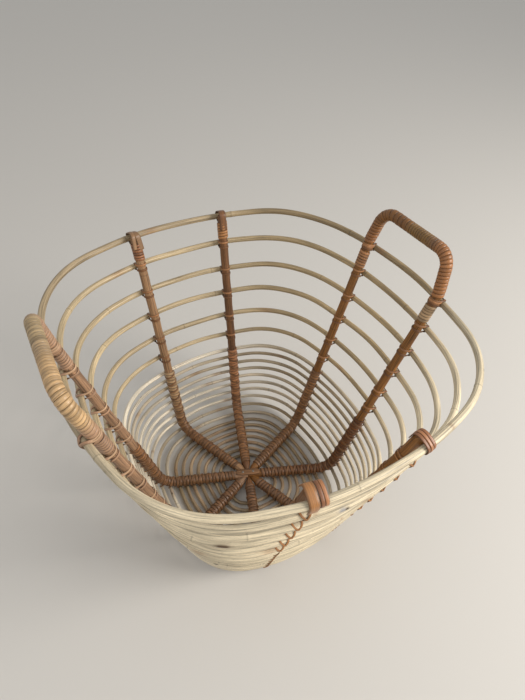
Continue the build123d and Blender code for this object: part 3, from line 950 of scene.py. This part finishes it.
# ---- lashings
def closest_marks(first, second):
    """Distances along two paths at which they pass closest to each other."""
    spans = [np.linspace(0, path.length, 240) for path in (first, second)]
    for _ in range(3):
        gaps = np.linalg.norm(first.at(spans[0])[:, None] - second.at(spans[1])[None], axis=2)
        picks = np.unravel_index(np.argmin(gaps), gaps.shape)
        best = [span[pick] for span, pick in zip(spans, picks)]
        reach = [span[1] - span[0] for span in spans]
        spans = [np.linspace(mark - step, mark + step, 41) for mark, step in zip(best, reach)]
        spans[0] = np.clip(spans[0], 0, first.length)
    return best


def crossing_frame(name, ring):
    """Where a rib meets a ring: (rib point, across, outward, up) and the rod's radius."""
    rib, line = rib_paths[name], ring_paths[ring]
    rib_mark, ring_mark = closest_marks(rib, line)
    point = rib.at(rib_mark)
    up = rib.tangent(rib_mark)
    outward = line.at(ring_mark) - point
    outward = unit(outward - up * outward.dot(up))
    return (point, np.cross(up, outward), outward, up), ring_size(ring).rod_radius


def from_axes(axes, local):
    """Points in space from distances across, outward and up from a crossing."""
    point, across, outward, up = axes
    return point + local[:, :1] * across + local[:, 1:2] * outward + local[:, 2:3] * up


def single_turn(shape, axes, rib_radius, rod_radius, slant, tint, rng):
    """One slanted strip round a rib and the ring outside it."""
    angle = np.linspace(0, 2 * math.pi, 40, endpoint=False)
    rib = np.column_stack([np.cos(angle) * rib_radius, np.sin(angle) * rib_radius])
    rod = np.column_stack([np.cos(angle) * (rod_radius + 1.5), RIB_OFFSET + np.sin(angle) * rod_radius])
    cloud = np.vstack([rib, rod])
    aims = np.linspace(0, 2 * math.pi, 36, endpoint=False)
    directions = np.column_stack([np.cos(aims), np.sin(aims)])
    outline = cloud[np.argmax(directions @ cloud.T, axis=1)]
    keep = np.linalg.norm(outline - np.roll(outline, 1, axis=0), axis=1) > 0.05
    outline = outline[keep]
    flat = np.column_stack([outline, outline[:, 0] * math.tan(slant)])
    normals = directions[keep]
    centre = from_axes(axes, flat)
    normal = normals[:, :1] * axes[1] + normals[:, 1:2] * axes[2]
    add_strip(shape, centre, normal, CLOSE_LASHING_WIDTH, LASHING_THICKNESS, tint, rng)


def crossed_turn(shape, axes, side, rod_radius, rng, lift=0.0, spacing=4.4):
    """Strip crossing over the ring outside and lying in two bars inside the rib."""
    width, tint, upper_tint = LASHING_TONES[side]
    reach = RIB_RADIUS + 0.3 + lift
    rod = rod_radius + 0.3 + lift
    span = RIB_RADIUS * 0.75
    loops = []
    for sign in (1, -1):
        loops += [
            (-span, RIB_OFFSET + 0.5, -sign * rod),
            (-span * 0.4, RIB_OFFSET + rod * 0.9, -sign * rod * 0.45),
            (0.0, RIB_OFFSET + rod + (0.8 if sign < 0 else 0.0), 0.0),
            (span * 0.4, RIB_OFFSET + rod * 0.9, sign * rod * 0.45),
            (span, RIB_OFFSET + 0.5, sign * rod),
            (reach, RIB_RADIUS * 0.35, sign * spacing),
            (reach * 0.75, -reach * 0.66, sign * spacing),
            (0.0, -reach, sign * spacing),
            (-reach * 0.75, -reach * 0.66, sign * spacing),
            (-reach, RIB_RADIUS * 0.35, sign * spacing),
        ]
    local = smooth_loop(loops, 4)
    from_rib = np.column_stack([local[:, 0], local[:, 1], np.zeros(len(local))])
    from_rod = np.column_stack([np.zeros(len(local)), local[:, 1] - RIB_OFFSET, local[:, 2]])
    share = (local[:, 1:2] - RIB_RADIUS * 0.4) / (RIB_OFFSET - RIB_RADIUS * 0.6)
    share = np.clip(share, 0, 1)
    blend = unit(from_rib + 1e-6) * (1 - share) + unit(from_rod + 1e-6) * share
    normal = blend[:, :1] * axes[1] + blend[:, 1:2] * axes[2] + blend[:, 2:3] * axes[3]
    pale = np.clip(local[:, 2:3] / spacing, 0, 1) * (local[:, 1:2] < RIB_OFFSET * 0.5)
    colour = linear(tint) * (1 - pale) + linear(upper_tint) * pale
    add_strip(shape, from_axes(axes, local), normal, width, LASHING_THICKNESS, colour, rng)


def close_lashing(shape, name, ring, rng):
    axes, rod_radius = crossing_frame(name, ring)
    slant = -RIBS[name][1] * math.radians(rng.uniform(16, 28))
    front = RIBS[name][0] == FRONT and ring in CLOSE_RINGS
    tint = STRAP_ORANGE if front else (STRIP_BROWN if rng.random() < 0.6 else STRIP_DARK)
    single_turn(shape, axes, WRAP_RADIUS + 0.1, rod_radius + 0.2, slant, tint, rng)


# the wide rings' lashings on each side: width, colour, colour of the upper bar
LASHING_TONES = {
    RIGHT: (3.3, RIB_BROWN, STRIP_WARM), BACK: (3.3, RIB_BROWN, STRIP_WARM),
    LEFT: (3.7, STRIP_PINK, BINDING_PALE), FRONT: (2.5, STRAP_ORANGE, STRIP_WARM),
}


def make_base_lashings():
    shape, rng = start_piece(6, "base_lashings")
    for name in RIBS:
        for ring in BASE_RINGS:
            close_lashing(shape, name, ring, rng)
    shape.make("base_lashings_strip", lashing_wood, "lashing_strip", ["base_lashings"])


def make_lashings(name):
    node = f"lashings_{name}"
    shape, rng = start_piece(7, node)
    for ring in CLOSE_RINGS:
        close_lashing(shape, name, ring, rng)
    for ring in WIDE_RINGS[1:]:
        axes, rod_radius = crossing_frame(name, ring)
        crossed_turn(shape, axes, RIBS[name][0], rod_radius, rng)
    shape.make(f"{node}_strip", lashing_wood, "lashing_strip", [node])


def make_rim_bindings(handle, names):
    node = f"rim_bindings_{handle}"
    shape, rng = start_piece(8, node)
    for name in names:
        axes, rod_radius = crossing_frame(name, "rim_ring")
        crossed_turn(shape, axes, RIBS[name][0], rod_radius, rng, spacing=3.6)
        crossed_turn(shape, axes, RIBS[name][0], rod_radius, rng, lift=0.7, spacing=1.5)
    shape.make(f"{node}_strip", lashing_wood, "lashing_strip", [node])


make_base_lashings()
for name in RIBS:
    make_lashings(name)
for handle, names in HANDLE_RIBS.items():
    make_rim_bindings(handle, names)


# ---- rim straps
def folded_strap(shape, axes, rod_radius, strap, rng):
    """Flat strip from inside the rib, over its end and the rim, and down outside."""
    width, shift, inner_leg, tint, lean, lift, tail = strap
    top = RIB_END_ABOVE_RIM + 1.2 + lift
    inside = -(RIB_RADIUS + 0.2 + lift)
    rod = rod_radius + 0.3 + lift
    under = [
        (RIB_OFFSET + rod * 0.75, -rod * 0.75),
        (RIB_OFFSET - 1.0, -rod - 0.4),
        (RIB_RADIUS + 0.4, -rod - 3.0),
    ]
    hanging = [(RIB_OFFSET + rod + 0.2, -rod), (RIB_OFFSET + rod, -rod - tail)]
    line = smooth_loop([
        (inside, -inner_leg), (inside, -inner_leg * 0.4), (inside, top - 5.0),
        (inside * 0.82, top - 0.8), (inside * 0.2, top + 2.0), (RIB_RADIUS * 0.8, top + 1.8),
        (RIB_OFFSET + rod * 0.5, rod + 1.0), (RIB_OFFSET + rod, 0.5),
    ] + (hanging if tail else under), 6, closed=False)
    travel = np.linspace(-0.5, 0.5, len(line))
    local = np.column_stack([shift + lean * travel, line])
    step = np.gradient(line, axis=0)
    away = unit(np.column_stack([-step[:, 1], step[:, 0]]))
    normal = away[:, :1] * axes[2] + away[:, 1:2] * axes[3]
    add_strip(shape, from_axes(axes, local), normal, width, 1.1, tint, rng, closed=False)


# each strip: width, shift along the rim, inner leg, colour, sideways lean, lift,
# length hanging outside the rim (0 where it tucks back under)
STRAPS = {
    "north": [(11.5, 0.0, 20.0, RIB_BROWN, 0.0, 0.0, 0.0)],
    "northwest": [
        (9.0, -1.0, 17.0, RIB_LIGHT, 6.0, 0.0, 0.0),
        (6.5, 3.0, 14.0, RIB_LIGHT, -7.0, 0.9, 0.0),
    ],
    "south": [
        (12.0, -2.0, 3.0, STRAP_ORANGE, 1.5, 0.6, 8.0),
        (4.4, 7.0, 5.0, STRIP_RED, 1.5, 0.3, 0.0),
        (4.4, 11.8, 5.0, STRIP_COPPER, 1.5, 0.0, 0.0),
    ],
    "southeast": [
        (4.2, -5.0, 5.0, STRIP_RED, 1.5, 0.0, 0.0),
        (4.2, -0.4, 5.0, STRIP_COPPER, 1.5, 0.3, 0.0),
        (4.2, 4.2, 5.0, STRIP_RED, 1.5, 0.0, 0.0),
    ],
}


def make_rim_straps(side, names):
    node = f"rim_straps_{side}"
    shape, rng = start_piece(9, node)
    for name in names:
        axes, rod_radius = crossing_frame(name, "rim_ring")
        for strap in STRAPS[name]:
            folded_strap(shape, axes, rod_radius, strap, rng)
    shape.make(f"{node}_strip", strip_wood, "flat_strip", [node])


for side, names in FREE_RIBS.items():
    make_rim_straps(side, names)


# ---- hub
def make_hub_strap():
    """Bare strip crossing the middle: rounded ends, crowned over the rods."""
    low, high = in_millimetres(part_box("hub_strap"))
    direction = base_direction("east")
    across = np.array([-direction[1], direction[0], 0.0])
    thickness = high[2] - low[2]
    marks = np.linspace(-1, 1, 33)
    outline = np.sqrt(np.clip(1 - np.abs(marks) ** 6, 0.004, 1))
    places, rises = section(2.0, 1.0)
    rows = []
    for mark, share in zip(marks, outline):
        centre = direction * mark * HUB_STRAP_HALF_LENGTH
        row = centre[None] + across[None] * (places * HUB_STRAP_HALF_WIDTH * share)[:, None]
        row[:, 2] = low[2] + thickness * rises * (0.6 + 0.4 * share)
        rows.append(row)
    points = np.array(rows)[:, ::-1]
    sideways = (places[::-1] * HUB_STRAP_HALF_WIDTH)[None]
    grain = grid((marks * HUB_STRAP_HALF_LENGTH)[:, None], sideways, rises[::-1][None])
    shape = Shape()
    shape.surface(points, grain, linear(STRIP_BROWN) * np.ones((len(marks), len(places), 1)))
    shape.make("hub_strap_strip", rib_wood, "flat_strip", ["hub_strap"])


TACK_GREY = (0.4, 0.38, 0.35)


def make_hub_tacks():
    """Two tacks with domed heads and tapering shanks."""
    low, high = in_millimetres(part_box("hub_tacks"))
    # (radius, height) from the point up the shank and over the head
    profile = [(0.05, low[2]), (0.7, low[2] + 2.0), (0.78, high[2] - 0.8), (2.2, high[2] - 0.75),
               (2.15, high[2] - 0.45), (1.5, high[2] - 0.12), (0.6, high[2])]
    angle = np.linspace(0, 2 * math.pi, 16, endpoint=False)
    shape = Shape()
    for name in ("east", "west"):
        middle = base_point(name, TACK_SPREAD)
        rows = [np.column_stack([middle[0] + np.cos(angle) * radius, middle[1] - np.sin(angle) * radius,
                                 np.full(len(angle), z)]) for radius, z in profile]
        points = np.array(rows)
        shape.surface(points, points, TACK_GREY)
    shape.make("hub_tacks_metal", steel, "tack", ["hub_tacks"])


make_hub_strap()
make_hub_tacks()


# ---- stage, light
FLOOR_HALF = 8.0
CAMERA_POSITION = Vector((-0.2852, -0.4638, 0.8494))
CAMERA_TARGET = Vector((0.0863, 0.1123, 0.1866))
CAMERA_ROLL = math.radians(3.74)
LENS = 28.21
SENSOR_HEIGHT = 36.0
BASKET_MIDDLE = (0.0, 0.0, 0.2)


def pale_floor():
    material, _, _, shader, _ = speckled(
        "pale_floor", scale=3.0, dark=(205, 200, 192), light=(214, 210, 203))
    shader.inputs["Roughness"].default_value = 0.7
    mesh = bpy.data.meshes.new("floor")
    corners = [(x * FLOOR_HALF, y * FLOOR_HALF, 0) for x, y in ((-1, -1), (1, -1), (1, 1), (-1, 1))]
    mesh.from_pydata(corners, [], [(0, 1, 2, 3)])
    mesh.materials.append(material)
    floor = add_object("floor", mesh)


def area_light(name, position, target, size, power, color):
    data = bpy.data.lights.new(name, "AREA")
    data.energy = power
    data.size = size
    data.color = color
    lamp = add_object(name, data)
    lamp.location = position
    lamp.rotation_euler = (Vector(target) - Vector(position)).to_track_quat("-Z", "Y").to_euler()


def place_camera():
    forward = (CAMERA_TARGET - CAMERA_POSITION).normalized()
    level = forward.cross(Vector((0, 0, 1))).normalized()
    upright = level.cross(forward)
    right = level * math.cos(CAMERA_ROLL) + upright * math.sin(CAMERA_ROLL)
    up = upright * math.cos(CAMERA_ROLL) - level * math.sin(CAMERA_ROLL)
    data = bpy.data.cameras.new("camera")
    data.sensor_fit = "VERTICAL"
    data.sensor_height = SENSOR_HEIGHT
    data.lens = LENS
    camera = add_object("camera", data)
    matrix = Matrix((right, up, -forward)).transposed().to_4x4()
    matrix.translation = CAMERA_POSITION
    camera.matrix_world = matrix
    bpy.context.scene.camera = camera


def sky_light():
    sky = bpy.data.worlds.new("studio")
    sky.use_nodes = True
    background = sky.node_tree.nodes["Background"]
    background.inputs["Color"].default_value = (0.84, 0.85, 0.86, 1.0)
    background.inputs["Strength"].default_value = 0.62
    bpy.context.scene.world = sky


pale_floor()
area_light("window", position=(1.6, -1.5, 1.5), target=BASKET_MIDDLE, size=1.1, power=56.0,
           color=(1.0, 0.97, 0.93))
area_light("fill", position=(-1.5, -0.8, 1.7), target=BASKET_MIDDLE, size=1.8, power=7.0,
           color=(0.97, 0.97, 1.0))
sky_light()
bpy.context.scene.view_settings.view_transform = "Standard"
place_camera()
